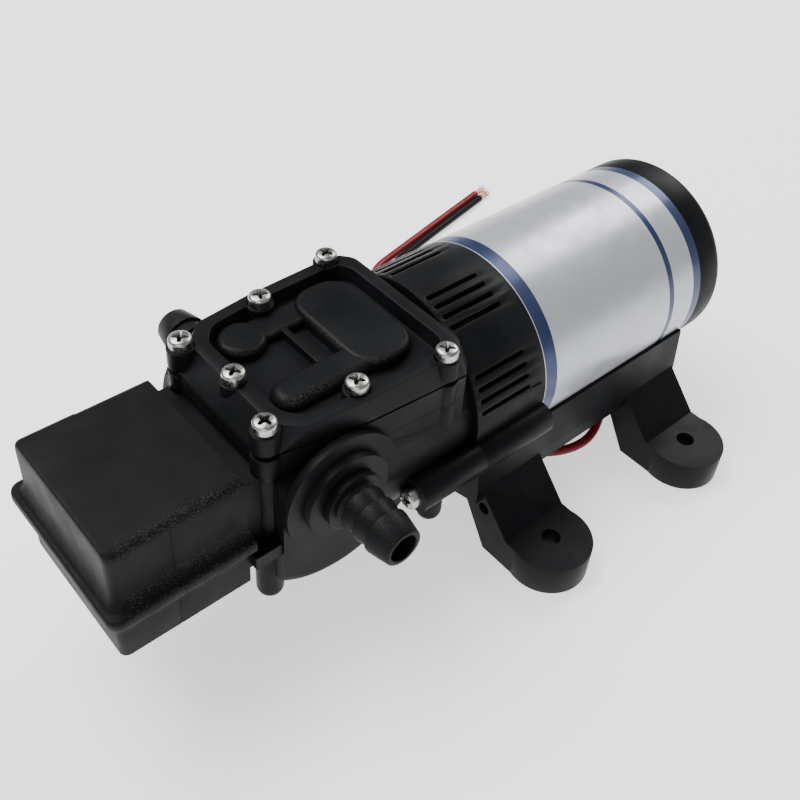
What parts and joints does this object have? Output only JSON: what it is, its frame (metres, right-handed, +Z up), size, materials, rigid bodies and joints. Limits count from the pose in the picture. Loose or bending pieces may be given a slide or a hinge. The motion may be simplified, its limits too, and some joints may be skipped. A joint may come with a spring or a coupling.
{
  "type": "diaphragm water pump",
  "caption": "Compact twelve volt diaphragm water pump: motor on a splayed four-foot bracket, square valve head with hose barbs on both sides and a rubber-booted pressure switch.",
  "frame": {"origin": "centre of the four mounting holes, on the surface that the feet stand on", "axes": "+X along the motor's axis from the pump head towards the motor's rear, +Y towards the inlet barb, +Z up from the feet"},
  "size_m": [0.1966, 0.1326, 0.0624],
  "materials": {
    "black_plastic": "satin, finely grained",
    "boot_rubber": "satin, speckled at its edges",
    "label": "silvery foil with blue bands",
    "can_steel": "zinc plated",
    "screw_nickel": "bright nickel",
    "steel": "ground",
    "magnet": "sintered ferrite",
    "copper": "bare copper",
    "brass": "turned",
    "carbon": "carbon",
    "inner_plastic": "natural nylon",
    "seal_rubber": "soft",
    "red_pvc": "soft insulation",
    "black_pvc": "soft insulation"
  },
  "bodies": {
    "housing": {"base_bracket": "black_plastic", "motor_can": "can_steel", "motor_label": "label", "magnets": "magnet", "end_cap": "black_plastic", "rear_bushing": "brass", "front_bushing": "brass", "brush_plate": "inner_plastic", "brush_holders": "brass", "brushes": "carbon", "brush_springs": "steel", "vent_housing": "black_plastic", "front_bearing_outer": "steel", "lower_housing": "black_plastic", "diaphragm": "seal_rubber", "valve_housing": "black_plastic", "inlet_valves": "seal_rubber", "outlet_valves": "seal_rubber", "cover_gasket": "seal_rubber", "top_cover": "black_plastic", "cover_screws": "screw_nickel", "tie_screws": "screw_nickel", "inlet_barb": "black_plastic", "outlet_barb": "black_plastic", "inlet_seal": "seal_rubber", "outlet_seal": "seal_rubber", "switch_disc": "seal_rubber", "switch_neck": "black_plastic", "switch_spring": "steel", "switch_case": "inner_plastic", "snap_switch": "inner_plastic", "switch_terminals": "brass", "rubber_boot": "boot_rubber", "lead_grommet": "seal_rubber", "lead_red": "red_pvc", "lead_black": "black_pvc", "bare_ends": "copper"},
    "rotor": {"motor_shaft": "steel", "armature_core": "steel", "armature_windings": "copper", "commutator": "copper", "front_bearing_inner": "steel", "front_bearing_balls": "steel", "eccentric_hub": "steel", "hub_set_screw": "steel", "drive_bearing_inner": "steel", "drive_bearing_balls": "steel", "drive_bearing_outer": "steel"},
    "rocker": {"rocker": "inner_plastic", "piston_plates": "inner_plastic", "piston_screws": "steel"},
    "plunger": {"switch_plunger": "inner_plastic"},
    "button": {"snap_button": "inner_plastic"},
    "adjuster": {"adjusting_screw": "brass"}
  },
  "joints": [
    {"name": "rotor_spin", "type": "hinge", "parent": "housing", "child": "rotor", "pos_m": [0, 0, 0.0365], "axis": [1, 0, 0], "continuous": true},
    {"name": "rocker_tilt", "type": "hinge", "parent": "housing", "child": "rocker", "pos_m": [-0.054, 0, 0.0463], "axis": [1, 0, 0], "range_deg": [-7, 7], "stiffness_Nm_per_rad": 0.05},
    {"name": "plunger_slide", "type": "slide", "parent": "housing", "child": "plunger", "axis": [-1, 0, 0], "range_m": [0, 0.001], "stiffness_N_per_m": 500, "springref_m": -0.001, "deforming": ["switch_spring"]},
    {"name": "button_slide", "type": "slide", "parent": "housing", "child": "button", "axis": [-1, 0, 0], "range_m": [0, 0.001]},
    {"name": "adjuster_turn", "type": "hinge", "parent": "housing", "child": "adjuster", "pos_m": [-0.102, 0, 0.036], "axis": [1, 0, 0], "continuous": true}
  ],
  "couplings": [
    {"joint": "button_slide", "follows": "plunger_slide", "ratio": 1}
  ]
}
